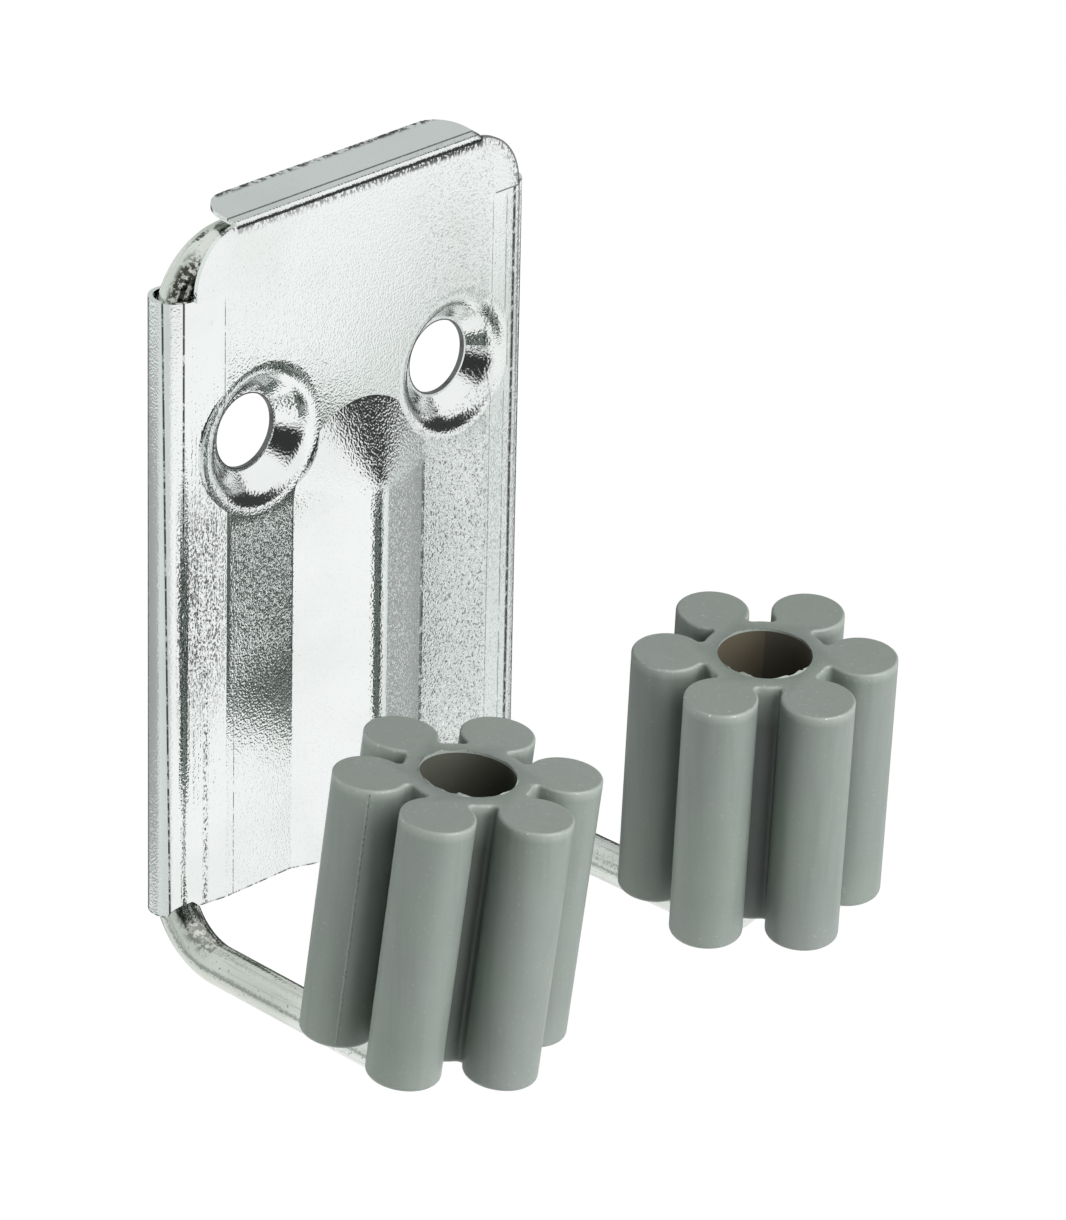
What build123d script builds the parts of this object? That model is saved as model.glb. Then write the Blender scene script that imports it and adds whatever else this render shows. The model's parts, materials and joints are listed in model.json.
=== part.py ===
from build123d import *

import os
from math import cos, radians, sin, tan

# Wall clip for a broom handle, in millimetres and degrees. The wall is the plane y = 0, the
# clip stands out from it towards -Y, and the origin is midway between the two screws.

# Round spring wire: crossbar, two legs, two arms and two axles
wire_diameter = 4.3
leg_spacing = 46.6
crossbar_height = 21.4
bend_radius = 7.6
leg_cut_height = 8.0
leg_cut_gap = 0.1
arm_height = -55.5
arm_length = 37.8
arm_drop = 2.0
arm_splay = 1.2
knee_radius = 5.5
axle_lean_in = 3.4
axle_lean_forward = 5.2
head_diameter = 7.0
head_thickness = 1.8
head_chamfer = 0.4

# Back plate, pressed from one sheet
sheet = 0.5
plate_top = 24.5
plate_bottom = -50.8
plate_corner_radius = 6.5
flat_half_width = 19.0
joggle = 0.6
curl_top = 17.5
curl_bottom = -51.6
curl_opening = 3.5
curl_play = 0.05
bend_play = 0.2
foot_bore_top = -45.0
corner_bore_bottom = 12.0
flange_half_width = 17.7
flange_rise = 7.5
flange_corner_radius = 3.5
fold_radius = 0.3
fold_depth = 1.5
screw_spacing = 28.0
screw_hole_diameter = 8.0
screw_seat_diameter = 8.8
dish_depth = 2.6
dish_diameter = 14.0
dish_rim_diameter = 16.8
dish_edge_radius = 3.2
rib_height = 3.4
rib_crown_half_width = 0.7
rib_base_half_width = 9.45
rib_skirt = 1.5
rib_end_height = -9.2
rib_crown_radius = 3.6
rib_foot_radius = 1.0

# Rubber rollers, six lobes round a hub
left_roller_height = 29.5
right_roller_height = 28.7
left_roller_lift = 5.45
right_roller_lift = 5.0
lobe_count = 6
lobe_radius = 3.85
lobe_pitch_radius = 10.0
hub_radius = 6.65
lobe_notch_radius = 0.5
top_rim_radius = 0.3
bottom_rim_radius = 0.6
bore_diameter = 9.9
neck_length = 16.0
neck_play = 0.06
end_play = 0.3
left_lobe_turn = 27.0
right_lobe_turn = 15.5

# Sizes that follow from those above
wire_radius = wire_diameter / 2
curl_radius = wire_radius + curl_play + sheet
leg_x = leg_spacing / 2
leg_y = -curl_radius
curl_front = -2 * curl_radius
web_front = curl_front - joggle
web_back = web_front + sheet
screw_x = screw_spacing / 2


def arm_layout(side):
    """Foot of the leg, knee under the roller and direction of the axle; side is -1 or 1."""
    drop, splay = radians(arm_drop), radians(arm_splay)
    reach = Vector(side * sin(splay) * cos(drop), -cos(splay) * cos(drop), -sin(drop))
    foot = Vector(side * leg_x, leg_y, arm_height)
    axle = Vector(-side * tan(radians(axle_lean_in)), -tan(radians(axle_lean_forward)), 1)
    return foot, foot + reach * arm_length, axle.normalized()


os.makedirs("parts", exist_ok=True)

# Curled edge: a sleeve round the leg, open on its inner side
with BuildPart() as curl:
    with BuildSketch(Plane.XY.offset(curl_bottom)):
        with Locations((leg_x, leg_y)):
            Circle(curl_radius)
            Circle(wire_radius + curl_play, mode=Mode.SUBTRACT)
        with Locations((leg_x, curl_front + sheet)):
            Rectangle(2 * curl_radius, curl_opening, align=(Align.MAX, Align.MIN), mode=Mode.SUBTRACT)
    extrude(amount=curl_top - curl_bottom)

# Half of the raised rib with a skirt of flat sheet, closed at the top by a quarter turn
with BuildPart() as rib:
    with BuildSketch(Plane.XY.offset(plate_bottom)) as rib_section:
        with BuildLine():
            Polyline(
                (0, web_back),
                (0, web_front - rib_height),
                (rib_crown_half_width, web_front - rib_height),
                (rib_base_half_width, web_front),
                (rib_base_half_width + rib_skirt, web_front),
                (rib_base_half_width + rib_skirt, web_back),
                close=True,
            )
        make_face()
        crown, foot = rib_section.vertices().sort_by(Axis.X)[2:4]
        fillet(crown, radius=rib_crown_radius)
        fillet(foot, radius=rib_foot_radius)
    extrude(amount=rib_end_height - plate_bottom)
    end_face = rib.faces().sort_by(Axis.Z)[-1]
    revolve(end_face, axis=Axis((0, 0, rib_end_height), (0, -1, 0)), revolution_arc=90)

# Hollow of the dish round a screw hole, its edge rounded, with the room in front of it
with BuildPart() as dish:
    with BuildSketch() as dish_section:
        with BuildLine():
            Polyline(
                (screw_x, web_front - rib_height),
                (screw_x + dish_rim_diameter / 2, web_front - rib_height),
                (screw_x + dish_rim_diameter / 2, web_front),
                (screw_x + dish_diameter / 2, web_front),
                (screw_x + screw_seat_diameter / 2, web_front + dish_depth),
                (screw_x, web_front + dish_depth),
                close=True,
            )
        make_face()
        fillet(dish_section.vertices().sort_by(Axis.X)[3], radius=dish_edge_radius)
    revolve(axis=Axis((screw_x, 0, 0), (0, 1, 0)))

# Back plate: the right half, mirrored at the end
with BuildPart() as back_plate:
    with BuildSketch(Plane.XY.offset(plate_bottom)):
        Polygon(
            (0, web_front),
            (flat_half_width, web_front),
            (leg_x, curl_front),
            (leg_x, curl_front + sheet),
            (flat_half_width, web_back),
            (0, web_back),
            align=None,
        )
    extrude(amount=curl_top - plate_bottom)
    with BuildSketch(Plane.XY.offset(curl_top)):
        with Locations((0, web_front)):
            Rectangle(leg_x, sheet, align=(Align.MIN, Align.MIN))
    extrude(amount=plate_top - curl_top)

    # Top corner rounded, and the strip taken out where the fold begins
    with BuildSketch(Plane.XZ) as outline:
        with Locations((0, plate_bottom)):
            Rectangle(leg_x, plate_top - plate_bottom, align=(Align.MIN, Align.MIN))
        fillet(outline.vertices().group_by(Axis.X)[-1].sort_by(Axis.Y)[-1], radius=plate_corner_radius)
    extrude(amount=-web_front, mode=Mode.INTERSECT)
    with BuildSketch(Plane.XY.offset(plate_top)):
        with Locations((0, web_front)):
            Rectangle(flange_half_width, sheet, align=(Align.MIN, Align.MIN))
    extrude(amount=-fold_depth, mode=Mode.SUBTRACT)

    # Flange folded back to the wall, rising a little
    with BuildSketch(Plane.YZ) as flange_section:
        rise = tan(radians(flange_rise))
        with BuildLine():
            Polyline(
                (web_front, plate_top - fold_depth),
                (web_front, plate_top),
                (0, plate_top - web_front * rise),
                (0, plate_top - web_front * rise - sheet),
                (web_back, plate_top + sheet * rise - sheet),
                (web_back, plate_top - fold_depth),
                close=True,
            )
        make_face()
        fold = flange_section.vertices().group_by(Axis.X)
        fillet(fold[0].sort_by(Axis.Y)[-1], radius=fold_radius + sheet)
        fillet(fold[1].sort_by(Axis.Y)[-1], radius=fold_radius)
    extrude(amount=flange_half_width)
    flange_corner = back_plate.edges().filter_by(Axis.Z).group_by(Axis.Y)[-1].sort_by(Axis.X)[-1]
    fillet(flange_corner, flange_corner_radius)

    # Rib: its front form added, and the same form one sheet further back taken away
    add(rib.part)
    add(Pos(0, sheet, 0) * rib.part, mode=Mode.SUBTRACT)

    # Dished screw hole, cut clear of the foot of the rib
    add(Pos(0, sheet, 0) * dish.part)
    add(dish.part, mode=Mode.SUBTRACT)
    with BuildSketch(Plane.XZ):
        with Locations((screw_x, 0)):
            Circle(screw_hole_diameter / 2)
    extrude(amount=-web_front, mode=Mode.SUBTRACT)

    # Curl, bored wider at both ends, where the wire turns out of it
    add(curl.part)
    corner = Vector(leg_x, leg_y, crossbar_height)
    corner_path = (leg_x, leg_y, corner_bore_bottom), corner, (0, leg_y, crossbar_height)
    foot, knee = arm_layout(1)[:2]
    foot_path = (leg_x, leg_y, foot_bore_top), foot, knee
    for path in (corner_path, foot_path):
        with BuildLine() as turn:
            FilletPolyline(*path, radius=bend_radius)
        with BuildSketch(Plane(turn.line @ 0, z_dir=turn.line % 0)):
            Circle(wire_radius + bend_play)
        sweep(path=turn.line, mode=Mode.SUBTRACT)

    mirror(about=Plane.YZ)
back_plate.part.label = "back_plate"
export_step(back_plate.part, "parts/back_plate.step")

# Wire yoke: the crossbar under the flange, its two corners and the tops of the legs
with BuildLine() as yoke_wire:
    FilletPolyline(
        (-leg_x, leg_y, leg_cut_height),
        (-leg_x, leg_y, crossbar_height),
        (leg_x, leg_y, crossbar_height),
        (leg_x, leg_y, leg_cut_height),
        radius=bend_radius,
    )
with BuildPart() as wire_yoke:
    with BuildSketch(Plane(yoke_wire.line @ 0, z_dir=yoke_wire.line % 0)):
        Circle(wire_radius)
    sweep(path=yoke_wire.line)
wire_yoke.part.label = "wire_yoke"
export_step(wire_yoke.part, "parts/wire_yoke.step")

for side_name, side, lobe_turn, roller_height, roller_lift in (
    ("left", -1, left_lobe_turn, left_roller_height, left_roller_lift),
    ("right", 1, right_lobe_turn, right_roller_height, right_roller_lift),
):
    foot, knee, axle = arm_layout(side)
    axle_tip = knee + axle * (roller_lift + neck_length + end_play)

    # Arm: the rest of the leg, the arm and the axle, with an upset head that keeps the roller on
    with BuildLine() as arm_wire:
        FilletPolyline(
            (foot.X, foot.Y, leg_cut_height - leg_cut_gap),
            foot,
            knee,
            axle_tip,
            radius=[bend_radius, knee_radius],
        )
    with BuildPart() as arm:
        with BuildSketch(Plane(arm_wire.line @ 0, z_dir=arm_wire.line % 0)):
            Circle(wire_radius)
        sweep(path=arm_wire.line)
        with BuildSketch(Plane(axle_tip, z_dir=axle)):
            Circle(head_diameter / 2)
        extrude(amount=head_thickness)
        head_top = arm.faces().sort_by_distance(axle_tip + axle * head_thickness)[0]
        chamfer(head_top.edges(), head_chamfer)
    arm.part.label = f"{side_name}_arm"
    export_step(arm.part, f"parts/{side_name}_arm.step")

    # Roller: lobes on a hub, with a neck that runs on the axle and an open bore above its head
    across = Vector(0, 1, 0).cross(axle)
    seat = Plane(knee + axle * roller_lift, x_dir=across, z_dir=axle)
    with BuildPart() as roller:
        with BuildSketch(seat) as lobes:
            Circle(hub_radius)
            with PolarLocations(lobe_pitch_radius, lobe_count, start_angle=lobe_turn):
                Circle(lobe_radius)
            fillet(lobes.vertices(), lobe_notch_radius)
        extrude(amount=roller_height)
        bottom = roller.faces().sort_by_distance(seat.origin)[0]
        fillet(bottom.edges(), bottom_rim_radius)
        top = roller.faces().sort_by_distance(seat.origin + axle * roller_height)[0]
        fillet(top.edges(), top_rim_radius)
        with BuildSketch(seat):
            Circle(wire_radius + neck_play)
        extrude(amount=neck_length, mode=Mode.SUBTRACT)
        with BuildSketch(seat.offset(neck_length)):
            Circle(bore_diameter / 2)
        extrude(amount=roller_height - neck_length, mode=Mode.SUBTRACT)
    roller.part.label = f"{side_name}_roller"
    export_step(roller.part, f"parts/{side_name}_roller.step")
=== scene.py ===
import json
from functools import reduce
from math import atan2, cos, hypot, pi, radians, sin, sqrt

import bmesh
import bpy
from mathutils import Matrix, Vector, noise

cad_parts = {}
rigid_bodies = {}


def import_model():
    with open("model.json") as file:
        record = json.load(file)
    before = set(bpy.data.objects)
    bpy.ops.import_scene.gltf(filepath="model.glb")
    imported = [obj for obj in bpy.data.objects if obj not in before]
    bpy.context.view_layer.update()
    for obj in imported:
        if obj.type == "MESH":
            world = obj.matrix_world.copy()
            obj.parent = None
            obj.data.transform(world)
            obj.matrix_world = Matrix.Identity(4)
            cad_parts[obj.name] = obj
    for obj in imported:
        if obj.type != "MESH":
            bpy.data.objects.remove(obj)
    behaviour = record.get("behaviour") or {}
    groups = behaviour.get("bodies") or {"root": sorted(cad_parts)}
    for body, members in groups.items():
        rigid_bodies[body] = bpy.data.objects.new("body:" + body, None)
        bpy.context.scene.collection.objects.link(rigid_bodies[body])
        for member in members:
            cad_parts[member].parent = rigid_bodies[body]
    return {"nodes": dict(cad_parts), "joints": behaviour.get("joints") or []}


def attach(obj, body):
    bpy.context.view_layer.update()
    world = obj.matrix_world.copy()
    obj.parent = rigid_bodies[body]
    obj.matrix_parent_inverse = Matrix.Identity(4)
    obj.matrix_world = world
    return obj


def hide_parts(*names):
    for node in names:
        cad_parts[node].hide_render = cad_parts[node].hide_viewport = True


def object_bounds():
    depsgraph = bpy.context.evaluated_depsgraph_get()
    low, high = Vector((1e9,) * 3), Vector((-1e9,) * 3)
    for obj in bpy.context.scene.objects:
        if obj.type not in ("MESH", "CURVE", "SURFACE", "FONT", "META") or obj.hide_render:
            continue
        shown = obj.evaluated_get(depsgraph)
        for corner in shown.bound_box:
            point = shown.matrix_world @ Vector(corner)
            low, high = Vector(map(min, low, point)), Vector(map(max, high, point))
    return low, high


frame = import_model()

cad_low, cad_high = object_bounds()


# Back plate: one pressed steel sheet, half a millimetre thick, with a ridge, two dished screw holes,
# a folded top flange and long edges curled round the wire. It is bright zinc plated after pressing,
# near white with a fine orange peel; tool lines, rubbed specks and sheared edges show dark. Painted shade
# darkens a band under the fold, the turned-down outline of the top right corner and the step below it.
mm = 0.001
curl_axis_x, curl_axis_y = 23.3 * mm, -2.7 * mm
hole_middle, hole_edge = 14.0 * mm, 4.05 * mm
corner_x, corner_z, corner_edge = 16.8 * mm, 18.0 * mm, 6.2 * mm
corner_step = 17.55 * mm
flange_bend = -4.6 * mm
rib_end_z = -9.2 * mm
strip_scuff = -21.6 * mm
zinc_white = (0.86, 0.885, 0.88, 1)
zinc_tarnish = (0.66, 0.69, 0.63, 1)
zinc_scratch = (0.30, 0.31, 0.30, 1)
zinc_black = (0.07, 0.07, 0.07, 1)
fine_grain = 0.026 * mm
ironed_grain = 0.01 * mm
hammered_grain = 0.05 * mm


def feed(tree, taker, values):
    """Sets a node's inputs: each value is a constant, or another node's output to link from."""
    for name, value in values.items():
        if isinstance(value, bpy.types.NodeSocket):
            tree.links.new(value, taker.inputs[name])
        else:
            taker.inputs[name].default_value = value


def node(tree, kind, inputs=None, **settings):
    """Adds a node with its settings and inputs."""
    made = tree.nodes.new(kind)
    for name, value in settings.items():
        setattr(made, name, value)
    feed(tree, made, inputs or {})
    return made


def result(tree, kind, inputs=None, **settings):
    """The first output of a new node."""
    return node(tree, kind, inputs, **settings).outputs[0]


def math(tree, operation, *values):
    """A Math node's output."""
    return result(tree, "ShaderNodeMath", dict(enumerate(values)), operation=operation)


def times(tree, first, *others):
    """The product of several values."""
    return reduce(lambda so_far, value: math(tree, "MULTIPLY", so_far, value), others, first)


def most(tree, first, *others):
    """The largest of several values."""
    return reduce(lambda so_far, value: math(tree, "MAXIMUM", so_far, value), others, first)


def diagonal(tree, across, up):
    """The length of a slope with these two sides."""
    return math(tree, "SQRT", math(tree, "ADD", times(tree, across, across), times(tree, up, up)))


def ramp(tree, value, low, high, to_low=0.0, to_high=1.0):
    """A value mapped smoothly from low..high to another range, and clamped there."""
    settings = {"Value": value, 1: low, 2: high, 3: to_low, 4: to_high}
    return result(tree, "ShaderNodeMapRange", settings, interpolation_type="SMOOTHSTEP")


def ramp_mm(tree, value, low, high, to_low=0.0, to_high=1.0):
    """The same for a place, with low and high in millimetres."""
    return ramp(tree, value, low * mm, high * mm, to_low, to_high)


def thin_line(tree, value, at, core, edge, depth=1.0):
    """A mask where value is close to at: full within core of it and gone past edge."""
    off = math(tree, "ABSOLUTE", math(tree, "SUBTRACT", value, at))
    return ramp(tree, off, core, edge, depth, 0.0)


def cloud(tree, vector, scale, detail=2.0, roughness=0.5):
    """The factor of a noise texture."""
    settings = {"Vector": vector, "Scale": scale, "Detail": detail, "Roughness": roughness}
    return result(tree, "ShaderNodeTexNoise", settings)


def stretched(tree, vector, factors):
    """Coordinates scaled along each axis, to draw a pattern out."""
    return result(tree, "ShaderNodeVectorMath", {0: vector, 1: factors}, operation="MULTIPLY")


def split(tree, vector):
    """The three parts of a vector."""
    return node(tree, "ShaderNodeSeparateXYZ", {0: vector}).outputs


def blend_colours(tree, factor, first, second):
    """The colour between first and second."""
    settings = {0: factor, 6: first, 7: second}
    return node(tree, "ShaderNodeMix", settings, data_type="RGBA").outputs[2]


def new_group(name, inputs, outputs, kind="ShaderNodeTree"):
    """An empty node group; returns it with its input and output nodes."""
    group = bpy.data.node_groups.new(name, kind)
    for socket, value in inputs:
        group.interface.new_socket(socket, in_out="INPUT", socket_type="NodeSocket" + value)
    for socket, value in outputs:
        group.interface.new_socket(socket, in_out="OUTPUT", socket_type="NodeSocket" + value)
    return group, group.nodes.new("NodeGroupInput").outputs, group.nodes.new("NodeGroupOutput")


def place_group(tree, group, inputs):
    """A group placed in a material with its own values; returns its outputs."""
    return node(tree, "ShaderNodeGroup", inputs, node_tree=group).outputs


def new_material(name):
    """A material with its node tree, its Principled shader and Object coordinates."""
    made = bpy.data.materials.new(name)
    made.use_nodes = True
    tree = made.node_tree
    coords = node(tree, "ShaderNodeTexCoord").outputs["Object"]
    return made, tree, tree.nodes["Principled BSDF"], coords


bright_zinc, zinc_in, zinc_out = new_group(
    "bright_zinc",
    [("Vector", "Vector"), ("Grain Scale", "Float"), ("Tarnish", "Float")],
    [("Colour", "Color"), ("Roughness", "Float"), ("Height", "Float")],
)
grain = cloud(bright_zinc, zinc_in["Vector"], zinc_in["Grain Scale"], 0.4)
peel_scale = times(bright_zinc, zinc_in["Grain Scale"], 0.33)
peel = cloud(bright_zinc, zinc_in["Vector"], peel_scale, 1.0)
plating_clouds = cloud(bright_zinc, zinc_in["Vector"], 60.0, 4.0, 0.6)
tarnish = times(bright_zinc, ramp(bright_zinc, plating_clouds, 0.4, 0.68), zinc_in["Tarnish"])
feed(bright_zinc, zinc_out, {
    "Colour": blend_colours(bright_zinc, tarnish, zinc_white, zinc_tarnish),
    "Roughness": ramp(bright_zinc, plating_clouds, 0.35, 0.7, 0.05, 0.09),
    "Height": math(bright_zinc, "MULTIPLY_ADD", peel, 0.25, grain),
})

hair_scratches, scratch_in, scratch_out = new_group(
    "hair_scratches",
    [("Vector", "Vector"), ("Scale", "Float"), ("Amount", "Float")],
    [("Mask", "Float")],
)
slant = {"Vector": scratch_in["Vector"], "Angle": 0.7}
slanted = result(hair_scratches, "ShaderNodeVectorRotate", slant, rotation_type="Y_AXIS")
drawn_out = stretched(hair_scratches, slanted, (1.0, 1.0, 0.08))
contour = cloud(hair_scratches, drawn_out, scratch_in["Scale"], 1.0, 0.4)
hairline = thin_line(hair_scratches, contour, 0.5, 0.0, 0.008)
sparse_scale = times(hair_scratches, scratch_in["Scale"], 0.6)
sparse = ramp(hair_scratches, cloud(hair_scratches, scratch_in["Vector"], sparse_scale), 0.58, 0.66)
feed(hair_scratches, scratch_out, {"Mask": times(hair_scratches, hairline, sparse, scratch_in["Amount"])})

zinc_sheet, tree, shader, coords = new_material("zinc_sheet")
zinc = place_group(tree, bright_zinc, {"Vector": coords, "Grain Scale": 4200.0, "Tarnish": 0.25})
hairs = place_group(tree, hair_scratches, {"Vector": coords, "Scale": 420.0, "Amount": 0.16})
x, y, z = split(tree, coords)
from_middle = math(tree, "ABSOLUTE", x)
ragged = cloud(tree, coords, 1300.0, 3.0, 0.7)
in_front = ramp_mm(tree, y, -4.9, -4.7, 1.0, 0.0)
beside_curl = times(tree, in_front, ramp_mm(tree, z, 15.5, 17.5, 1.0, 0.0))

# Sheared rear edge of the flange and lower edge of the plate, left dark and torn
rear_edge = times(tree, ramp_mm(tree, y, -0.9, -0.3), ramp_mm(tree, z, 23.0, 24.0))
curl_drop = ramp_mm(tree, from_middle, 23.0, 23.2, 0.0, 0.8 * mm)
low_edge = ramp_mm(tree, math(tree, "ADD", z, curl_drop), -50.75, -50.55, 1.0, 0.0)
sheared = times(tree, most(tree, rear_edge, low_edge), ramp(tree, ragged, 0.42, 0.56))

# Lines that the tools leave: two along each curl, the bends beside them and one behind the flange's fold
across_curl = math(tree, "SUBTRACT", from_middle, curl_axis_x)
round_curl = math(tree, "ARCTAN2", math(tree, "SUBTRACT", y, curl_axis_y), across_curl)
outer_angle = math(tree, "MULTIPLY_ADD", z, 4.6, -0.415)
inner_angle = ramp_mm(tree, x, -1.0, 1.0, -1.165, -1.57)
inner_width = ramp_mm(tree, x, -1.0, 1.0, 0.06, 0.13)
inner_part = most(tree, ramp_mm(tree, z, -12.0, -7.0), ramp_mm(tree, x, -1.0, 1.0))
on_outer = thin_line(tree, round_curl, outer_angle, 0.022, 0.06)
on_inner = times(tree, thin_line(tree, round_curl, inner_angle, 0.022, inner_width), inner_part)
on_curl = times(tree, ramp_mm(tree, from_middle, 22.2, 22.6), ramp(tree, ragged, 0.36, 0.5, 0.3, 1.0))
curl_line = times(tree, most(tree, on_outer, on_inner), on_curl)
left_bend = ramp_mm(tree, z, -22.0, 8.0, -17.9 * mm, -19.3 * mm)
rib_foot = ramp_mm(tree, z, -11.0, -8.0, 0.75, 0.0)
bends = (
    (9.6 * mm, 0.22 * mm, rib_foot), (22.0 * mm, 0.09 * mm, 0.5),
    (left_bend, 0.06 * mm, 0.75), (19.6 * mm, 0.06 * mm, 0.6),
)
bend_line = most(tree, *(
    thin_line(tree, x, at, width * 0.4, width * 1.3, depth) for at, width, depth in bends
))
bend_line = times(tree, bend_line, beside_curl, ramp(tree, ragged, 0.38, 0.52))
flange_line = times(
    tree, thin_line(tree, y, flange_bend, 0.07 * mm, 0.16 * mm, 0.85), ramp_mm(tree, z, 24.4, 24.5),
    ramp(tree, ragged, 0.3, 0.45, 0.4, 1.0),
)
pressed = most(tree, curl_line, bend_line, flange_line)

# Upright streaks where the strip beside each curl was drawn over the tool
on_strip = times(tree, ramp_mm(tree, from_middle, 18.4, 19.6), beside_curl)
drawn_streaks = times(
    tree, cloud(tree, stretched(tree, coords, (1.0, 1.0, 0.03)), 2600.0, 2.0, 0.6), on_strip,
    ramp_mm(tree, x, -1.0, 1.0, 1.0, 0.5),
)

# Specks that the tools rubbed in, low on the left strip and high on the right one;
# painted shade in a feathered band under the fold
grazed = stretched(tree, coords, (1.0, 1.0, 0.5))
specks = ramp(tree, cloud(tree, grazed, 5600.0, 2.0, 0.6), 0.5, 0.58)
rubbed_left = times(
    tree, ramp_mm(tree, z, -34.0, -20.0), ramp_mm(tree, z, -10.0, 0.0, 1.0, 0.0),
    ramp_mm(tree, x, -21.0, -18.2, 1.0, 0.4),
)
rubbed_right = times(tree, ramp_mm(tree, x, 20.5, 23.3), ramp_mm(tree, z, -14.0, 8.0, 0.0, 0.4))
rubbed_strips = times(tree, most(tree, rubbed_left, rubbed_right), on_strip)
scuffed_line = times(
    tree, thin_line(tree, x, strip_scuff, 0.1 * mm, 0.5 * mm), ramp_mm(tree, z, -12.0, -4.0, 1.0, 0.0)
)
# Painted shade on the sheet just under the fold, broken into feathers
under_fold = times(
    tree, ramp_mm(tree, z, 22.9, 23.7), ramp_mm(tree, z, 23.9, 24.1, 0.95, 0.0),
    ramp_mm(tree, x, -17.0, 16.0, 0.5, 1.0), ramp_mm(tree, from_middle, 17.6, 18.2, 1.0, 0.0),
)
feathers = math(tree, "MULTIPLY_ADD", under_fold, 0.08, cloud(tree, grazed, 3000.0, 2.0, 0.6))
# Rubbed specks and the painted shade under the fold
rubbed_specks_and_fold_shade = most(
    tree, times(tree, most(tree, rubbed_strips, scuffed_line), specks, 0.85),
    times(tree, under_fold, ramp(tree, feathers, 0.5, 0.58)),
)

# Painted shade along the turned-down outline of the top right corner and in a line at the step under it,
# with rubbed specks near the corner
from_corner = diagonal(
    tree, math(tree, "MAXIMUM", math(tree, "SUBTRACT", x, corner_x), 0.0),
    math(tree, "MAXIMUM", math(tree, "SUBTRACT", z, corner_z), 0.0),
)
# Painted shade on the outermost edge of the corner
turned_down = times(
    tree, ramp(tree, from_corner, corner_edge, corner_edge + 0.2 * mm),
    ramp_mm(tree, x, 17.0, 17.6, 0.0, 0.85),
)
speck_reach = ramp_mm(tree, x, 14.0, 18.0, 5.7 * mm, 4.9 * mm)
near_corner = times(
    tree, ramp(tree, from_corner, speck_reach, corner_edge, 0.0, 0.8), specks,
    ramp_mm(tree, z, 24.2, 24.4, 1.0, 0.0),
)
# Painted shade line along the step
step_line = times(
    tree, thin_line(tree, z, corner_step, 0.06 * mm, 0.16 * mm, 0.8), ramp_mm(tree, x, 19.6, 20.0)
)
over_step = times(tree, most(tree, turned_down, near_corner), ramp_mm(tree, z, 17.2, 17.6))
cornered = times(tree, most(tree, over_step, step_line), in_front)

# Dark line round each punched hole, and fine pits in the plating, most on the right of the ridge
from_hole = diagonal(tree, math(tree, "SUBTRACT", from_middle, hole_middle), z)
punched = thin_line(tree, from_hole, hole_edge, 0.05 * mm, 0.14 * mm, 0.9)
pit_share = times(
    tree, ramp_mm(tree, x, 6.0, 11.0, 0.05, 0.7), ramp_mm(tree, x, 19.2, 19.8, 1.0, 0.15),
    ramp_mm(tree, z, -12.0, 4.0, 1.0, 0.45), in_front,
)
pits = times(tree, ramp(tree, cloud(tree, coords, 3600.0, 2.0, 0.6), 0.56, 0.65), pit_share)
# Marks and painted shade together, drawn in near black
marks = most(tree, sheared, punched, pressed, cornered, rubbed_specks_and_fold_shade, pits)

# Relief: orange peel, ironed flat on the rib's left side and hammered coarser on the webs and the rib's end
left_web = times(
    tree, ramp_mm(tree, x, -18.7, -18.2), ramp_mm(tree, x, -9.9, -9.4, 1.0, 0.0),
    ramp_mm(tree, z, -9.5, -7.5, 1.0, 0.0), ramp_mm(tree, z, -30.0, -22.0),
)
right_web = times(tree, ramp_mm(tree, x, 9.4, 9.9, 0.0, 0.5), ramp_mm(tree, z, -11.0, -8.0, 1.0, 0.0))
past_end = math(tree, "SUBTRACT", z, rib_end_z)
above_end = ramp_mm(tree, past_end, -1.0, 1.0)
rib_end = times(
    tree, ramp_mm(tree, diagonal(tree, x, past_end), 9.0, 9.6, 1.0, 0.0), above_end,
    ramp_mm(tree, x, -5.0, 0.0, 0.15, 1.0),
)
left_flank = times(tree, ramp_mm(tree, x, -9.6, -9.2), ramp_mm(tree, x, -1.9, -1.2, 1.0, 0.0))
faces_room = ramp(tree, split(tree, coords.node.outputs["Normal"])["Y"], -0.2, 0.2, 1.0, 0.0)
ironed = times(tree, math(tree, "SUBTRACT", left_flank, above_end), faces_room)
hammered = times(tree, most(tree, left_web, right_web, rib_end), faces_room)
grain_depth = ramp(tree, ironed, 0.0, 1.0, fine_grain, ironed_grain)
sheet_height = math(tree, "SUBTRACT", zinc["Height"], most(tree, hairs["Mask"], pressed))
streaked_height = math(tree, "MULTIPLY_ADD", drawn_streaks, 1.4, sheet_height)
stipple = cloud(tree, coords, 7000.0, 0.4)
sheet_bump = {
    "Strength": 1.0,
    "Distance": math(tree, "MULTIPLY_ADD", hammered, hammered_grain, grain_depth),
    "Height": math(tree, "MULTIPLY_ADD", times(tree, left_web, 0.2), stipple, streaked_height),
}
scratched = blend_colours(tree, hairs["Mask"], zinc["Colour"], zinc_scratch)
feed(tree, shader, {
    "Base Color": blend_colours(tree, marks, scratched, zinc_black),
    "Roughness": math(tree, "MULTIPLY_ADD", marks, 0.3, zinc["Roughness"]),
    "Metallic": 1.0,
    "Normal": result(tree, "ShaderNodeBump", sheet_bump),
})

plate = frame["nodes"]["back_plate"]
plate.data.materials.clear()
plate.data.materials.append(zinc_sheet)


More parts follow.
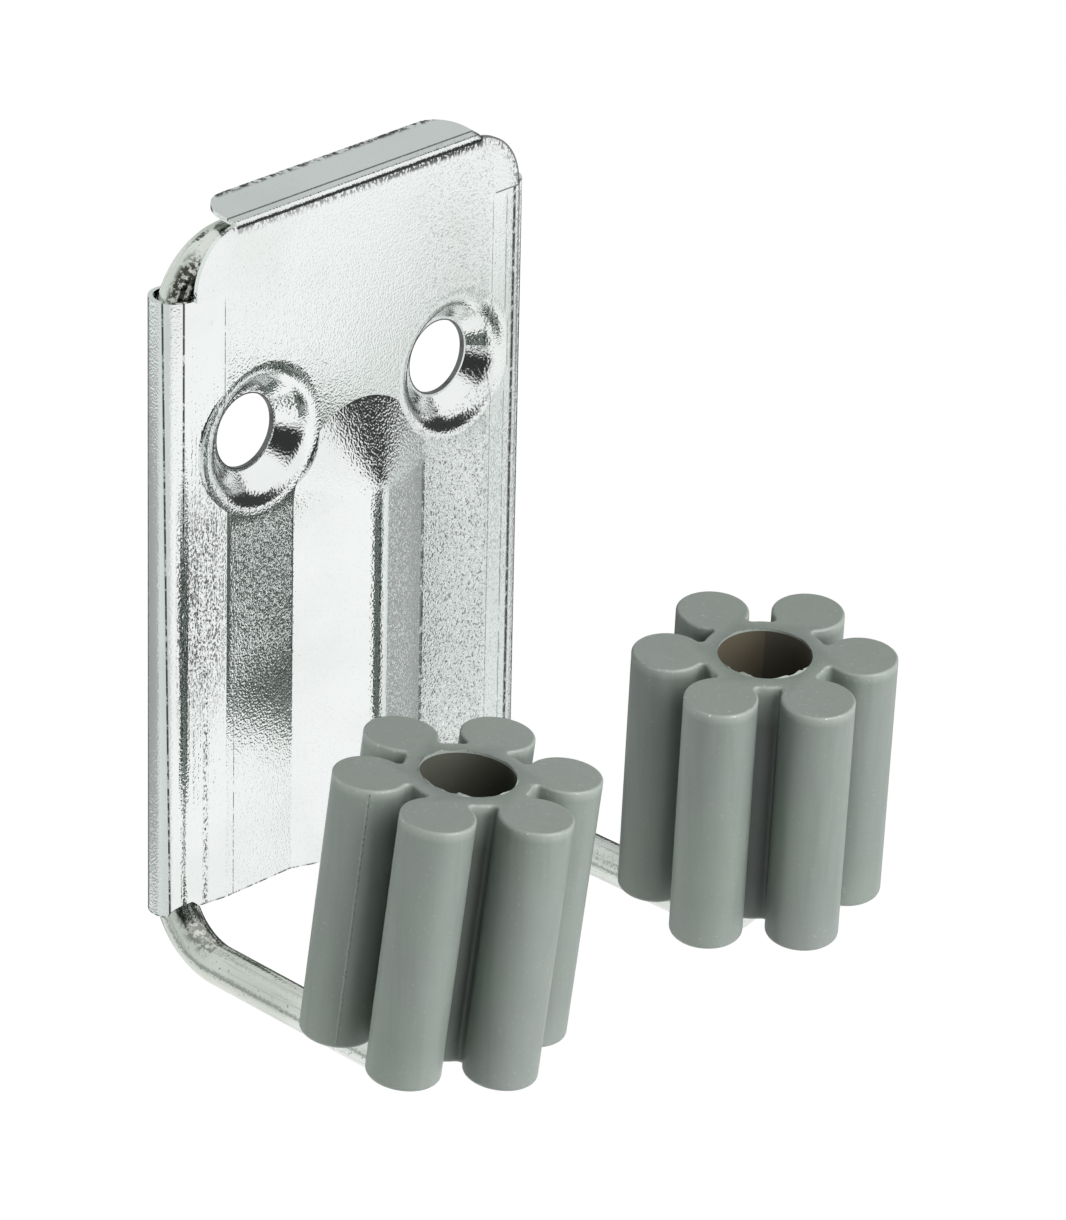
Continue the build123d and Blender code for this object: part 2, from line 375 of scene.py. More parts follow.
# Wire frame: one drawn steel wire, zinc plated, bent into a crossbar, two legs that run in the curled
# edges and two forward arms that turn up into the roller axles. It is cut inside the curls so that each
# arm can swing, and each axle ends in an upset head. Die marks, scuffs and mandrel marks stay on it.
wire_radius = 2.15 * mm
wire_sides = 56
bend_radius = 7.6 * mm
knee_radius = 5.5 * mm
bend_steps = 18
leg_cut, leg_cut_gap = 8.0 * mm, 0.1 * mm
crossbar_height = 21.4 * mm
arm_height = -55.5 * mm
roller_heights = {"left": 29.5 * mm, "right": 28.7 * mm}
roller_lifts = {"left": 5.45 * mm, "right": 5.0 * mm}
neck_length = 16.0 * mm
end_play = 0.3 * mm
head_radius, head_thickness = 3.5 * mm, 1.8 * mm
head_chamfer, head_edge = 0.4 * mm, 0.1 * mm
head_steps = 48
wire_dull = (0.60, 0.63, 0.58, 1)
die_mark = (0.36, 0.36, 0.30, 1)
mandrel_mark = (0.045, 0.043, 0.032, 1)
wire_scratch = (0.25, 0.25, 0.23, 1)
scene = bpy.context.scene
joints = {joint["name"]: joint for joint in frame["joints"]}

bent_wire, route_in, wire_out = new_group(
    "bent_wire",
    [("Route", "Geometry"), ("Wire Radius", "Float"), ("Sides", "Int"), ("Finish", "Material")],
    [("Wire", "Geometry")],
    "GeometryNodeTree",
)
corners = result(bent_wire, "GeometryNodeMeshToCurve", {0: route_in["Route"]})
bend = result(bent_wire, "GeometryNodeInputNamedAttribute", {"Name": "bend"}, data_type="FLOAT")
turns = {"Curve": corners, "Count": bend_steps, "Radius": bend, "Limit Radius": True}
rounded = result(bent_wire, "GeometryNodeFilletCurve", turns, mode="POLY")
length = node(bent_wire, "GeometryNodeSplineParameter").outputs["Length"]
measured = result(
    bent_wire, "GeometryNodeStoreNamedAttribute", {"Geometry": rounded, "Name": "along", "Value": length},
    data_type="FLOAT", domain="POINT",
)
ring = result(
    bent_wire, "GeometryNodeCurvePrimitiveCircle",
    {"Resolution": route_in["Sides"], "Radius": route_in["Wire Radius"]},
)
spot = result(bent_wire, "GeometryNodeInputPosition")
section = result(
    bent_wire, "GeometryNodeStoreNamedAttribute", {"Geometry": ring, "Name": "around", "Value": spot},
    data_type="FLOAT_VECTOR", domain="POINT",
)
tube = result(
    bent_wire, "GeometryNodeCurveToMesh", {"Curve": measured, "Profile Curve": section, "Fill Caps": True}
)
smooth = result(bent_wire, "GeometryNodeSetShadeSmooth", {"Geometry": tube})
whole = result(bent_wire, "GeometryNodeRealizeInstances", {"Geometry": smooth})
coated = result(bent_wire, "GeometryNodeSetMaterial", {"Geometry": whole, "Material": route_in["Finish"]})
feed(bent_wire, wire_out, {"Wire": coated})


def link(obj):
    """Puts a new object in the scene."""
    scene.collection.objects.link(obj)
    return obj


def grow(name, mesh, group, values):
    """Runs a Geometry Nodes tree on a mesh and returns the plain mesh that it makes."""
    seed = link(bpy.data.objects.new(name + "_seed", mesh))
    modifier = seed.modifiers.new("grow", "NODES")
    modifier.node_group = group
    for socket in group.interface.items_tree:
        if socket.in_out == "INPUT" and socket.name in values:
            modifier[socket.identifier] = values[socket.name]
    depsgraph = bpy.context.evaluated_depsgraph_get()
    made = bpy.data.meshes.new_from_object(seed.evaluated_get(depsgraph), depsgraph=depsgraph)
    seed.modifiers.remove(modifier)
    bpy.data.objects.remove(seed)
    made.name = name
    return made


def wire_mesh(name, route, bend_radii):
    """A wire through a route's corners, each rounded to its own radius and marked on its inside."""
    path = bpy.data.meshes.new(name + "_route")
    path.from_pydata(route, [(i, i + 1) for i in range(len(route) - 1)], [])
    path.attributes.new("bend", "FLOAT", "POINT").data.foreach_set("value", bend_radii)
    values = {"Wire Radius": wire_radius, "Sides": wire_sides, "Finish": drawn_zinc}
    mesh = grow(name, path, bent_wire, values)
    marks = [-1.0] * len(mesh.vertices)
    for before, corner, after, radius in zip(route, route[1:], route[2:], bend_radii[1:]):
        corner = Vector(corner)
        back, on = (Vector(before) - corner).normalized(), (Vector(after) - corner).normalized()
        inward = (back + on).normalized()
        half_opening = back.angle(on) / 2
        centre = corner + inward * radius / sin(half_opening)
        for i, v in enumerate(mesh.vertices):
            reach = v.co - centre
            if reach.dot(-inward) > reach.length * sin(half_opening):
                marks[i] = max(marks[i], (radius - reach.length) / wire_radius)
    mesh.attributes.new("inside", "FLOAT", "POINT").data.foreach_set("value", marks)
    return mesh


def attribute(tree, name, output="Fac"):
    """A value or vector that a mesh carries."""
    return node(tree, "ShaderNodeAttribute", attribute_name=name).outputs[output]


drawn_zinc, tree, shader, coords = new_material("drawn_zinc")
zinc = place_group(tree, bright_zinc, {"Vector": coords, "Grain Scale": 3200.0, "Tarnish": 1.0})
hairs = place_group(tree, hair_scratches, {"Vector": coords, "Scale": 260.0, "Amount": 0.6})
x, y, z = split(tree, coords)
across = split(tree, attribute(tree, "around", "Vector"))
lengthwise = times(tree, attribute(tree, "along"), 0.03)
drawn = result(tree, "ShaderNodeCombineXYZ", {0: across["X"], 1: across["Y"], 2: lengthwise})
streaks = cloud(tree, drawn, 2200.0, 3.0, 0.65)
die_marks = times(tree, ramp(tree, streaks, 0.52, 0.68), 0.45)
in_bend = times(
    tree, ramp(tree, attribute(tree, "inside"), 0.3, 0.7), ramp_mm(tree, z, -10.0, 0.0, 0.55, 0.0)
)
on_corner = times(
    tree, ramp_mm(tree, y, -3.4, -2.6, 0.95, 0.0), ramp_mm(tree, z, 10.0, 12.0),
    ramp_mm(tree, z, 20.6, 22.2, 1.0, 0.0),
)
torn = ramp(tree, cloud(tree, coords, 1700.0, 3.0, 0.65), 0.43, 0.54)
mandrel_marks = times(tree, most(tree, in_bend, on_corner), torn)
scuffs = times(tree, ramp(tree, cloud(tree, coords, 2600.0, 2.0, 0.6), 0.66, 0.72), 0.6)
dulled = blend_colours(tree, 0.4, zinc["Colour"], wire_dull)
streaked = blend_colours(tree, die_marks, dulled, die_mark)
marked = blend_colours(tree, most(tree, mandrel_marks, scuffs), streaked, mandrel_mark)
wire_bump = {
    "Strength": 1.0,
    "Distance": 0.028 * mm,
    "Height": math(tree, "MULTIPLY_ADD", streaks, 0.7, zinc["Height"]),
}
feed(tree, shader, {
    "Base Color": blend_colours(tree, hairs["Mask"], marked, wire_scratch),
    "Roughness": math(tree, "MULTIPLY_ADD", streaks, 0.16, zinc["Roughness"]),
    "Metallic": 1.0,
    "Normal": result(tree, "ShaderNodeBump", wire_bump),
})

leg_x, leg_y = joints["right_arm_spring"]["pos_m"][:2]
crossbar_route = [
    (-leg_x, leg_y, leg_cut),
    (-leg_x, leg_y, crossbar_height),
    (leg_x, leg_y, crossbar_height),
    (leg_x, leg_y, leg_cut),
]
crossbar_mesh = wire_mesh("wire_crossbar", crossbar_route, (0, bend_radius, bend_radius, 0))
crossbar = link(bpy.data.objects.new("wire_crossbar", crossbar_mesh))
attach(crossbar, "plate")
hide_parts("wire_yoke")


def turned(profile, steps):
    """A form turned about Z from (radius, height) points that start and end on the axis."""
    form = bmesh.new()
    angles = [2 * pi * i / steps for i in range(steps)]
    rings = []
    for radius, height in profile:
        if radius == 0:
            rings.append([form.verts.new((0, 0, height))] * steps)
        else:
            rings.append([form.verts.new((radius * cos(a), radius * sin(a), height)) for a in angles])
    for low, high in zip(rings, rings[1:]):
        for i in range(steps):
            j = (i + 1) % steps
            form.faces.new(dict.fromkeys((low[i], low[j], high[j], high[i])))
    bmesh.ops.recalc_face_normals(form, faces=form.faces)
    return form


def along_axle(start, axle, turn=0.0):
    """The matrix that stands a piece made about Z on the axle, turned about it."""
    x = Vector((0, 1, 0)).cross(axle).normalized()
    y = axle.cross(x)
    stand = Matrix((x, y, axle)).transposed().to_4x4()
    stand.translation = start
    return stand @ Matrix.Rotation(turn, 4, "Z")


head_shoulder = head_radius - head_chamfer
head_profile = [
    (0, 0), (head_radius - head_edge, 0), (head_radius, head_edge),
    (head_radius, head_thickness - head_chamfer), (head_shoulder + head_edge, head_thickness - head_edge),
    (head_shoulder, head_thickness), (head_shoulder / 2, head_thickness), (0, head_thickness),
]
for side in ("left", "right"):
    spin = joints[f"{side}_roller_spin"]
    axle = Vector(spin["axis"]).normalized()
    knee = Vector(spin["pos_m"]) - axle * (roller_lifts[side] + roller_heights[side] / 2)
    tip = knee + axle * (roller_lifts[side] + neck_length + end_play)
    leg_x, leg_y = joints[f"{side}_arm_spring"]["pos_m"][:2]
    arm_route = [(leg_x, leg_y, leg_cut - leg_cut_gap), (leg_x, leg_y, arm_height), knee, tip]
    name = f"{side}_sprung_arm"
    arm = link(bpy.data.objects.new(name, wire_mesh(name, arm_route, (0, bend_radius, knee_radius, 0))))
    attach(arm, f"{side}_arm")
    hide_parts(f"{side}_arm")

    form = turned(head_profile, head_steps)
    form.transform(along_axle(tip, axle))
    mesh = bpy.data.meshes.new(f"{side}_axle_head")
    form.to_mesh(mesh)
    form.free()
    mesh.materials.append(drawn_zinc)
    head = link(bpy.data.objects.new(mesh.name, mesh))
    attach(head, f"{side}_arm")


# Rollers: two grey rubber mouldings with six round lobes on a hub and an open bore. Each is pushed over
# its axle and spins there. The mould leaves a parting line down one lobe and thin torn flash round the
# bore; dust lies on the skin. Painted light makes the rims soft and pale, and painted shade darkens the
# grooves between the lobes and the bore, which on the right roller has a lit and a shaded half.
hub_radius = 6.65 * mm
lobe_radius = 3.85 * mm
lobe_pitch = 10.0 * mm
lobe_count = 6
lobe_steps, notch_steps, hub_steps = 24, 6, 3
notch_radius = 0.5 * mm
bore_radius = 4.95 * mm
bore_steps = 16
neck_radius = 2.21 * mm
top_rim, bottom_rim, rim_steps = 0.3 * mm, 0.6 * mm, 5
wall_steps = 6
flash_height, flash_steps = 0.4 * mm, 120
seam_angle, seam_steps = radians(76), 140
sharp_angle = radians(28)
rubber_green = (0.224, 0.268, 0.232, 1)
rubber_grey = (0.230, 0.263, 0.246, 1)
rubber_pale = (0.29, 0.325, 0.30, 1)
rubber_streak = (0.18, 0.215, 0.19, 1)
# Pale for the torn flash and for painted light along the lobes' rims
rubber_rim = (0.54, 0.58, 0.54, 1)
rubber_crumb = (0.78, 0.80, 0.77, 1)
rubber_dust = (0.46, 0.50, 0.47, 1)
rubber_scratch = (0.40, 0.44, 0.41, 1)
# Dark for the mould line's dark side and for painted shade deep in the grooves
rubber_torn_and_groove_shade = (0.05, 0.058, 0.054, 1)
# Bore walls: the same rubber, painted dark as shade in the bore; brown for the lit half of the right bore
bore_olive = (0.092, 0.095, 0.075, 1)
bore_brown = (0.115, 0.10, 0.07, 1)
bore_shade_near_edge = (0.078, 0.072, 0.056, 1)
bore_far = (0.15, 0.14, 0.11, 1)


def lobe_outline():
    """Half-open outline of one lobe with its share of the hub, as (point, outward direction) pairs."""
    reach_hub, reach_lobe = hub_radius + notch_radius, lobe_radius + notch_radius
    notch_cos = (reach_hub**2 + lobe_pitch**2 - reach_lobe**2) / (2 * reach_hub * lobe_pitch)
    notch_sin = sqrt(1 - notch_cos**2)
    notch = Vector((reach_hub * notch_cos, reach_hub * notch_sin))
    hub_end = atan2(notch_sin, notch_cos)
    lobe_end = atan2(notch.y, notch.x - lobe_pitch)
    upper = []
    for i in range(lobe_steps + 1):
        a = lobe_end * i / lobe_steps
        out = Vector((cos(a), sin(a)))
        upper.append((Vector((lobe_pitch, 0)) + out * lobe_radius, out))
    start, end = lobe_end - pi, hub_end - pi
    for i in range(1, notch_steps + 1):
        a = start + (end - start) * i / notch_steps
        away = Vector((cos(a), sin(a)))
        upper.append((notch + away * notch_radius, -away))
    for i in range(1, hub_steps + 1):
        a = hub_end + (pi / lobe_count - hub_end) * i / hub_steps
        out = Vector((cos(a), sin(a)))
        upper.append((out * hub_radius, out))
    lower = [(Vector((p.x, -p.y)), Vector((n.x, -n.y))) for p, n in reversed(upper[1:])]
    return lower + upper


def lobe_mesh(name, roller_height):
    """One sixth of a roller, standing on z = 0 about the Z axis."""
    outline = lobe_outline()
    quarter = [pi / 2 * i / rim_steps for i in range(rim_steps + 1)]
    wall_height = roller_height - bottom_rim - top_rim
    wall_top = roller_height - top_rim
    levels = [(bottom_rim * (1 - cos(a)), bottom_rim * (1 - sin(a))) for a in quarter]
    levels += [(bottom_rim + wall_height * i / wall_steps, 0) for i in range(1, wall_steps)]
    levels += [(wall_top - 0.9 * mm, 0), (wall_top - 0.3 * mm, 0)]
    levels += [(roller_height - top_rim * (1 - sin(a)), top_rim * (1 - cos(a))) for a in quarter]
    form = bmesh.new()
    walls = [
        [form.verts.new((*(p - n * inset), height)) for p, n in outline] for height, inset in levels
    ]
    for low, high in zip(walls, walls[1:]):
        for i in range(len(outline) - 1):
            form.faces.new((low[i], low[i + 1], high[i + 1], high[i]))
    angles = [pi / lobe_count * (2 * i / bore_steps - 1) for i in range(bore_steps + 1)]
    bore_levels = (
        (bore_radius, roller_height), (bore_radius, roller_height - 4 * mm), (bore_radius, neck_length),
        (neck_radius, neck_length), (neck_radius, 0),
    )
    inner = [
        [form.verts.new((radius * cos(a), radius * sin(a), height)) for a in angles]
        for radius, height in bore_levels
    ]
    for high, low in zip(inner, inner[1:]):
        for i in range(bore_steps):
            form.faces.new((high[i], low[i], low[i + 1], high[i + 1]))
    form.faces.new(walls[-1] + inner[0][::-1])
    form.faces.new(walls[0][::-1] + inner[-1])
    bmesh.ops.recalc_face_normals(form, faces=form.faces)
    mesh = bpy.data.meshes.new(name)
    form.to_mesh(mesh)
    form.free()
    return mesh


ring_of_lobes, lobe_in, roller_out = new_group(
    "ring_of_lobes",
    [("Lobe", "Geometry"), ("Lobe Count", "Int"), ("Rubber", "Material")],
    [("Roller", "Geometry")],
    "GeometryNodeTree",
)
points = result(ring_of_lobes, "GeometryNodePoints", {"Count": lobe_in["Lobe Count"]})
share = math(ring_of_lobes, "DIVIDE", 2 * pi, lobe_in["Lobe Count"])
turn = times(ring_of_lobes, result(ring_of_lobes, "GeometryNodeInputIndex"), share)
turned_by = result(ring_of_lobes, "ShaderNodeCombineXYZ", {2: turn})
rotation = result(ring_of_lobes, "FunctionNodeEulerToRotation", {0: turned_by})
placed = result(
    ring_of_lobes, "GeometryNodeInstanceOnPoints",
    {"Points": points, "Instance": lobe_in["Lobe"], "Rotation": rotation},
)
solid = result(ring_of_lobes, "GeometryNodeRealizeInstances", {"Geometry": placed})
joined = result(ring_of_lobes, "GeometryNodeMergeByDistance", {"Geometry": solid, "Distance": 0.002 * mm})
rubbered = result(
    ring_of_lobes, "GeometryNodeSetMaterial", {"Geometry": joined, "Material": lobe_in["Rubber"]}
)
feed(ring_of_lobes, roller_out, {"Roller": rubbered})

moulded_rubber, tree, shader, coords = new_material("moulded_rubber")
rim, bore = attribute(tree, "rim"), attribute(tree, "bore")
hairs = place_group(tree, hair_scratches, {"Vector": coords, "Scale": 420.0, "Amount": 0.12})
mottle = cloud(tree, coords, 260.0, 4.0, 0.6)
bloom = ramp(tree, cloud(tree, coords, 70.0, 2.0), 0.42, 0.6)
upright = stretched(tree, coords, (1.0, 1.0, 0.04))
streaks = ramp(tree, cloud(tree, upright, 900.0, 3.0, 0.6), 0.45, 0.7, 0.0, 0.3)
dust = ramp(tree, cloud(tree, coords, 2600.0, 2.0, 0.6), 0.62, 0.74)
crumb_specks = ramp(tree, cloud(tree, coords, 2000.0, 2.0, 0.6), 0.68, 0.73)
crumbs = times(tree, ramp(tree, rim, 0.6, 0.9), crumb_specks)
# Pale on the torn flash and the mould line's specks, and painted light along the lobes' top and bottom rims
pale = times(tree, most(tree, rim, 0.0), math(tree, "MULTIPLY_ADD", dust, 0.6, 0.4))
# Dark on the mould line's dark side and painted shade deep in the grooves
torn = ramp(tree, rim, -0.8, 0.0, 1.0, 0.0)
bloomed = blend_colours(tree, bloom, rubber_green, rubber_grey)
mottled = blend_colours(tree, times(tree, mottle, 0.5), bloomed, rubber_pale)
streaked = blend_colours(tree, streaks, mottled, rubber_streak)
rimmed = blend_colours(tree, pale, streaked, rubber_rim)
crumbled = blend_colours(tree, crumbs, rimmed, rubber_crumb)
dusted = blend_colours(tree, times(tree, dust, 0.22), crumbled, rubber_dust)
scuffed = blend_colours(tree, hairs["Mask"], dusted, rubber_scratch)
# Painted shade in the bore: olive all round the left bore, and on the right one a brown lit half and a
# darker shaded half
near_core = blend_colours(tree, ramp(tree, bore, 0.5, 0.55), bore_olive, bore_brown)
far_core = blend_colours(tree, ramp(tree, bore, 0.7, 1.0), bore_shade_near_edge, bore_far)
core = blend_colours(tree, ramp(tree, bore, 0.6, 0.65), near_core, far_core)
cored = blend_colours(tree, ramp(tree, bore, 0.0, 0.5), scuffed, core)
rubber_bump = {
    "Strength": 0.6,
    "Distance": 0.01 * mm,
    "Height": math(tree, "MULTIPLY_ADD", mottle, 2.0, cloud(tree, coords, 3000.0, 2.0, 0.6)),
}
feed(tree, shader, {
    "Base Color": blend_colours(tree, torn, cored, rubber_torn_and_groove_shade),
    "Roughness": ramp(tree, mottle, 0.3, 0.7, 0.34, 0.44),
    "Specular IOR Level": 0.45,
    "Normal": result(tree, "ShaderNodeBump", rubber_bump),
})


def clamped(value):
    """A value kept between 0 and 1."""
    return min(max(value, 0), 1)


def add_flash(form, height, seed):
    """Thin torn flash that stands up round the mouth of the bore."""
    rings = [[], [], []]
    for i in range(flash_steps):
        a = 2 * pi * i / flash_steps
        tear = clamped(0.3 + 1.3 * noise.noise((3 * cos(a), 3 * sin(a), seed)))
        fine = 0.5 + 0.5 * noise.noise((24 * cos(a), 24 * sin(a), seed))
        lean = 0.12 * tear * (fine - 0.4) * mm
        for ring, radius, z in (
            (rings[0], bore_radius + 0.12 * tear * mm, height - 0.02 * mm),
            (rings[1], bore_radius - lean, height + flash_height * tear * fine),
            (rings[2], bore_radius - 0.01 * mm, height - 0.25 * mm),
        ):
            ring.append(form.verts.new((radius * cos(a), radius * sin(a), z)))
    for low, high in zip(rings, rings[1:]):
        for i in range(flash_steps):
            j = (i + 1) % flash_steps
            form.faces.new((low[i], low[j], high[j], high[i]))
    return [v for ring in rings for v in ring]


def add_seam(form, height, lobe, seed, rim_layer):
    """Parting line of the mould: a thin ragged line down one lobe, dark with pale torn specks beside it."""
    section = ((-0.22, -0.012, 0), (-0.1, 0.012, -1), (0.06, 0.014, 1), (0.2, -0.012, 0))
    rows = []
    for i in range(seam_steps + 1):
        z = 0.7 * mm + (height - 1.1 * mm) * i / seam_steps
        wander = 0.05 * mm * noise.noise((0, i * 0.2, seed))
        row = []
        for across, rise, tone in section:
            a = lobe + seam_angle - (across * mm + wander) / lobe_radius
            reach = lobe_radius + rise * mm
            x = lobe_pitch * cos(lobe) + reach * cos(a)
            y = lobe_pitch * sin(lobe) + reach * sin(a)
            v = form.verts.new((x, y, z))
            torn_low = tone * 0.3 * (1 - i / seam_steps)
            v[rim_layer] = tone * clamped(0.48 + torn_low + noise.noise((5 * tone, i * 0.7, seed)))
            row.append(v)
        rows.append(row)
    for low, high in zip(rows, rows[1:]):
        for i in range(len(section) - 1):
            face = form.faces.new((low[i], high[i], high[i + 1], low[i + 1]))
            face.smooth = True


def rim_tone(v, height):
    """How pale the rubber is at a vertex: painted light along the top rims and, weaker, the bottom rims;
    below zero deep in the grooves, for painted shade.
    """
    from_axis = hypot(v.co.x, v.co.y)
    if from_axis <= hub_radius - bottom_rim - 0.1 * mm:
        return 0.0
    below_top = height - top_rim * 0.3 - v.co.z
    # Painted light along the top rim and, half as strong, the bottom rim
    near_top = 1 - min(max(below_top / (1.1 * mm), -below_top / (0.25 * mm)), 1)
    near_bottom = 1 - min(abs(v.co.z - bottom_rim * 0.3) / (bottom_rim * 1.2), 1)
    # Painted shade deep in the grooves between the lobes
    groove = clamped(1 - (from_axis - hub_radius) / (1.8 * mm)) * clamped(below_top / mm - 1.2)
    return max(near_top, near_bottom * 0.5) - 0.45 * groove


def bore_tone(middle, height, shade_edge):
    """Painted shade in the bore for a face: 0 outside it, 0.5 where the bore is shaded evenly, 0.55 in its
    lit half and from 0.7 up in its shaded half past the shade's edge.
    """
    in_bore = neck_length - 0.1 * mm < middle.z < height - 0.1 * mm
    if not in_bore or hypot(middle.x, middle.y) >= bore_radius:
        return 0.0
    if shade_edge is None:
        return 0.5
    past_shade_edge = sin(atan2(middle.y, middle.x) + radians(shade_edge))
    return 0.7 + 0.3 * past_shade_edge if past_shade_edge > 0 else 0.55


# The right roller's bore is split at this angle into a painted lit half and a painted shaded half
for side, lobe_turn, seam_lobe, shade_edge in (("left", 27.0, 2, None), ("right", 15.5, 5, 152.3)):
    spin = joints[f"{side}_roller_spin"]
    axle = Vector(spin["axis"]).normalized()
    height = roller_heights[side]
    base = Vector(spin["pos_m"]) - axle * height / 2
    name = f"{side}_lobed_roller"
    lobe = lobe_mesh(name + "_lobe", height)
    mesh = grow(name, lobe, ring_of_lobes, {"Lobe Count": lobe_count, "Rubber": moulded_rubber})
    form = bmesh.new()
    form.from_mesh(mesh)
    rim_layer = form.verts.layers.float.new("rim")
    for v in form.verts:
        v[rim_layer] = rim_tone(v, height)
    bore_layer = form.faces.layers.float.new("bore")
    for f in form.faces:
        f[bore_layer] = bore_tone(f.calc_center_median(), height, shade_edge)
        f.smooth = True
    for e in form.edges:
        e.smooth = len(e.link_faces) == 2 and e.calc_face_angle() < sharp_angle
    for v in add_flash(form, height, lobe_turn):
        v[rim_layer] = 1.0
    bmesh.ops.recalc_face_normals(form, faces=form.faces)
    add_seam(form, height, seam_lobe * pi / 3, lobe_turn, rim_layer)
    for f in form.faces:
        f.material_index = 0
    form.transform(along_axle(base, axle, radians(lobe_turn)))
    mesh.materials.clear()
    mesh.materials.append(moulded_rubber)
    form.to_mesh(mesh)
    form.free()
    roller = link(bpy.data.objects.new(name, mesh))
    weights = roller.modifiers.new("flat faces stay flat", "WEIGHTED_NORMAL")
    weights.keep_sharp = True
    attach(roller, f"{side}_roller")
    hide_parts(f"{side}_roller")


# Studio: a plain white floor well below the clip, a large soft lamp in front that the metal doesn't
# mirror, and two smaller ones that fill the shadows from the left and from behind. Pale to dark cards
# stand where the metal should show an edge; they are seen only in reflections.
floor_reach, floor_drop = 6.0, 0.14
card_steps = 24
card_middle = Vector((0, -15, -20)) * mm
lamp_distance = 1.25


def seen_directly(tree):
    """1 for camera, glossy and transmission rays, which see the white background."""
    path = node(tree, "ShaderNodeLightPath").outputs
    return most(tree, path["Is Camera Ray"], path["Is Glossy Ray"], path["Is Transmission Ray"])


white_floor = bpy.data.materials.new("white_floor")
white_floor.use_nodes = True
tree = white_floor.node_tree
matt = tree.nodes["Principled BSDF"]
feed(tree, matt, {"Base Color": (0.6, 0.6, 0.6, 1), "Roughness": 0.9})
glow = result(tree, "ShaderNodeEmission", {"Color": (1, 1, 1, 1), "Strength": 1.06})
lit = times(tree, seen_directly(tree), 0.92)
mixed = result(tree, "ShaderNodeMixShader", {0: lit, 1: matt.outputs[0], 2: glow})
feed(tree, tree.nodes["Material Output"], {"Surface": mixed})
floor_mesh = bpy.data.meshes.new("floor")
floor_corners = [
    (x * floor_reach, y * floor_reach, cad_low.z - floor_drop)
    for x, y in ((-1, -1), (1, -1), (1, 1), (-1, 1))
]
floor_mesh.from_pydata(floor_corners, [], [(0, 1, 2, 3)])
floor_mesh.materials.append(white_floor)
link(bpy.data.objects.new("floor", floor_mesh))

studio_card = bpy.data.materials.new("studio_card")
studio_card.use_nodes = True
tree = studio_card.node_tree
tree.nodes.clear()
shade, cover = attribute(tree, "shade"), attribute(tree, "cover")
glow = result(tree, "ShaderNodeEmission", {"Color": (0.955, 1.0, 0.982, 1), "Strength": shade})
clear = result(tree, "ShaderNodeBsdfTransparent")
mixed = result(tree, "ShaderNodeMixShader", {0: cover, 1: clear, 2: glow})
node(tree, "ShaderNodeOutputMaterial", {"Surface": mixed})


def towards(azimuth, elevation):
    """Unit vector; azimuth 0 is the front of the clip and 90 its right."""
    a, e = radians(azimuth), radians(elevation)
    return Vector((sin(a) * cos(e), -cos(a) * cos(e), sin(e)))


def card(name, azimuths, elevations, shades, soft, distance):
    """A curved card with soft edges, spanning two ranges in degrees as the clip sees them."""
    corners, covers, tones = [], [], []
    for i in range(card_steps + 1):
        for j in range(card_steps + 1):
            u, v = i / card_steps, j / card_steps
            azimuth = azimuths[0] + (azimuths[1] - azimuths[0]) * u
            elevation = elevations[0] + (elevations[1] - elevations[0]) * v
            corners.append(card_middle + towards(azimuth, elevation) * distance)
            covers.append(min(u, 1 - u, soft) * min(v, 1 - v, soft) / soft**2)
            tones.append(shades[0] + (shades[1] - shades[0]) * u)
    row = card_steps + 1
    starts = [i * row + j for i in range(card_steps) for j in range(card_steps)]
    mesh = bpy.data.meshes.new(name)
    mesh.from_pydata(corners, [], [(k, k + row, k + row + 1, k + 1) for k in starts])
    mesh.attributes.new("cover", "FLOAT", "POINT").data.foreach_set("value", covers)
    mesh.attributes.new("shade", "FLOAT", "POINT").data.foreach_set("value", tones)
    mesh.materials.append(studio_card)
    made = link(bpy.data.objects.new(name, mesh))
    made.visible_camera = made.visible_diffuse = made.visible_shadow = False


card("card_beside_camera", (-72, -14), (-14, 42), (0.04, 0.04), 0.2, 0.3)
card("card_right", (20, 84), (-7, 34), (0.05, 0.05), 0.14, 0.45)
card("card_right_near", (46, 62), (-60, -2), (1.0, 0.3), 0.25, 0.13)
card("card_right_gap", (65, 87), (-50, -4), (0.88, 0.88), 0.1, 0.128)
card("card_right_low", (77, 98), (-46, -6), (0.38, 0.38), 0.12, 0.13)
card("card_right_corner", (77, 97), (-14, 8), (0.3, 0.38), 0.15, 0.12)
card("card_right_edge", (103, 136), (-46, 0), (0.06, 0.06), 0.1, 0.128)
card("card_fold", (98, 118), (37, 53), (0.05, 0.05), 0.3, 0.5)
card("card_behind", (92, 166), (-14, 60), (0.5, 0.75), 0.12, 0.6)
card("card_behind_gap", (158, 184), (22, 66), (0.05, 0.05), 0.3, 0.5)
card("card_left", (-186, -58), (-44, 70), (1.0, 0.66), 0.1, 0.27)
card("card_left_band", (-182, -112), (-32, -13), (0.36, 0.48), 0.15, 0.26)
card("card_behind_low", (116, 190), (-44, -2), (0.2, 0.15), 0.2, 0.25)


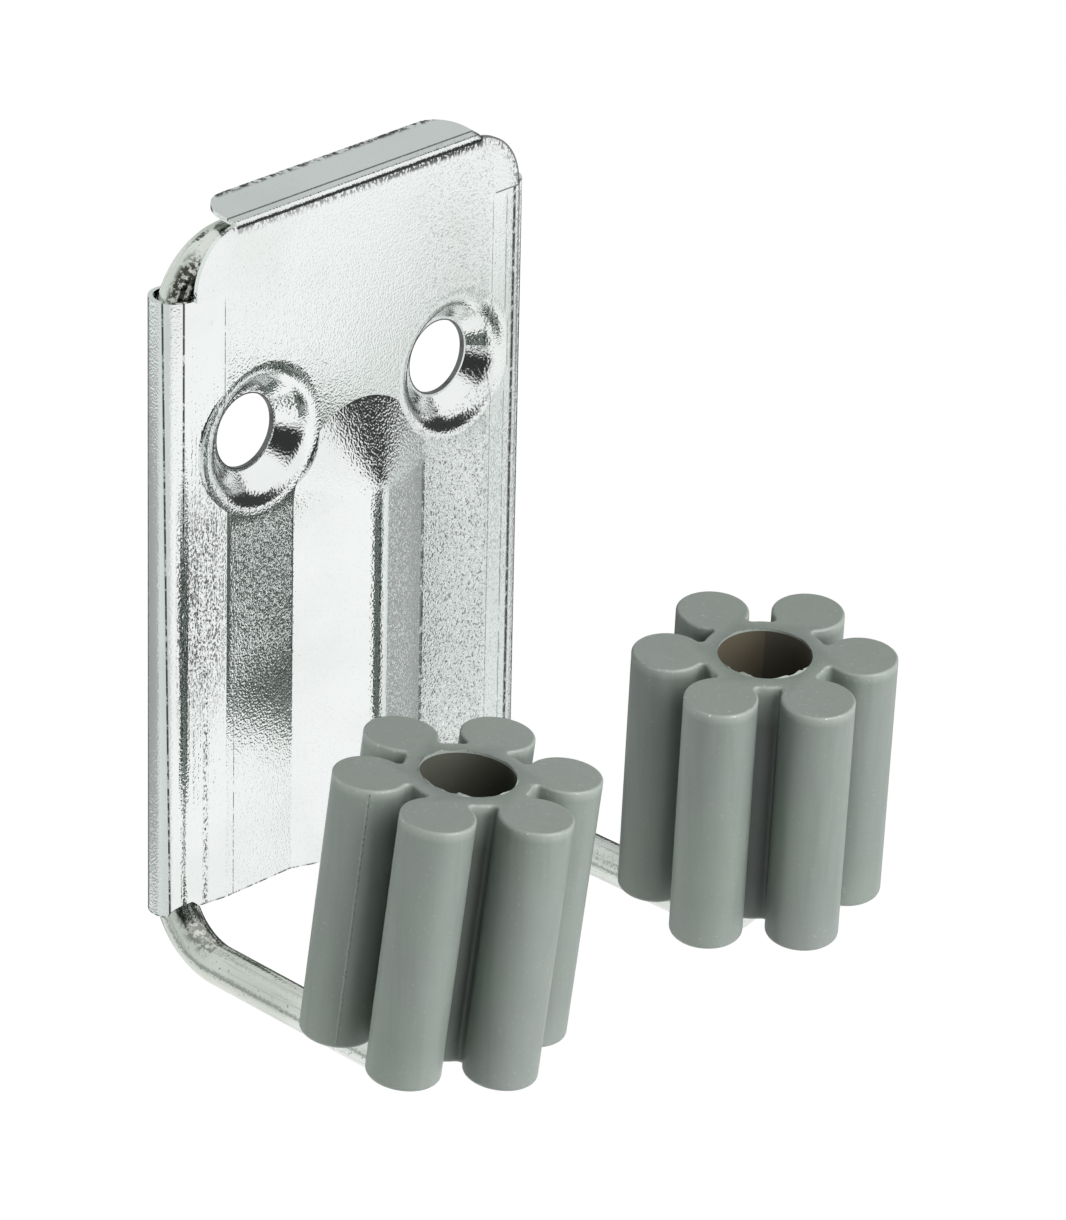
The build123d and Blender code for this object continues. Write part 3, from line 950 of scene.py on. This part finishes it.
def lamp(name, azimuth, elevation, size, power, mirrored=False):
    """A square lamp that faces the clip; mirrored says whether glossy surfaces show it."""
    data = bpy.data.lights.new(name, "AREA")
    data.shape = "SQUARE"
    data.size = size
    data.energy = power
    made = link(bpy.data.objects.new(name, data))
    made.matrix_world = towards(azimuth, elevation).to_track_quat("Z", "Y").to_matrix().to_4x4()
    made.location = towards(azimuth, elevation) * lamp_distance
    made.visible_glossy = mirrored
    return made


softbox = lamp("front_softbox", 6, 25, 1.3, 22.5, mirrored=True)
lamp("left_fill", -132, 4, 0.4, 9.0)
lamp("back_fill", 134, 2, 0.6, 9.0)

metal = bpy.data.collections.new("mirrors_room_only")
for piece in scene.objects:
    if piece.type == "MESH" and {zinc_sheet, drawn_zinc} & set(piece.data.materials):
        metal.objects.link(piece)
for member in metal.collection_objects:
    member.light_linking.link_state = "EXCLUDE"
softbox.light_linking.receiver_collection = metal

world = bpy.data.worlds.new("white_room")
world.use_nodes = True
tree = world.node_tree
feed(tree, tree.nodes["Background"], {
    "Color": (1, 1, 1, 1),
    "Strength": math(tree, "MULTIPLY_ADD", seen_directly(tree), 0.925, 0.075),
})
scene.world = world


# Camera: the photograph's own view, from the left, above and far away, fitted to points measured in it
# together with the clip's sizes. Everything is sharp.
sensor_width = 36.0
focal_length, frame_height = 7739.4, 1220
azimuth, elevation, roll = -46.785, 24.937, radians(-1.287)
camera_aim = Vector((7.0425, -24.6182, -19.8658)) * mm
camera_distance = 0.80015
camera_data = bpy.data.cameras.new("camera")
camera_data.sensor_width = sensor_width
camera_data.lens = sensor_width * focal_length / frame_height
back = towards(azimuth, elevation)
right = Vector((cos(radians(azimuth)), sin(radians(azimuth)), 0))
up = back.cross(right)
turned_right = cos(roll) * right - sin(roll) * up
turned_up = sin(roll) * right + cos(roll) * up
pose = Matrix((turned_right, turned_up, back)).transposed().to_4x4()
pose.translation = camera_aim + back * camera_distance
camera = link(bpy.data.objects.new("camera", camera_data))
camera.matrix_world = pose
scene.camera = camera
scene.view_settings.view_transform = "Standard"
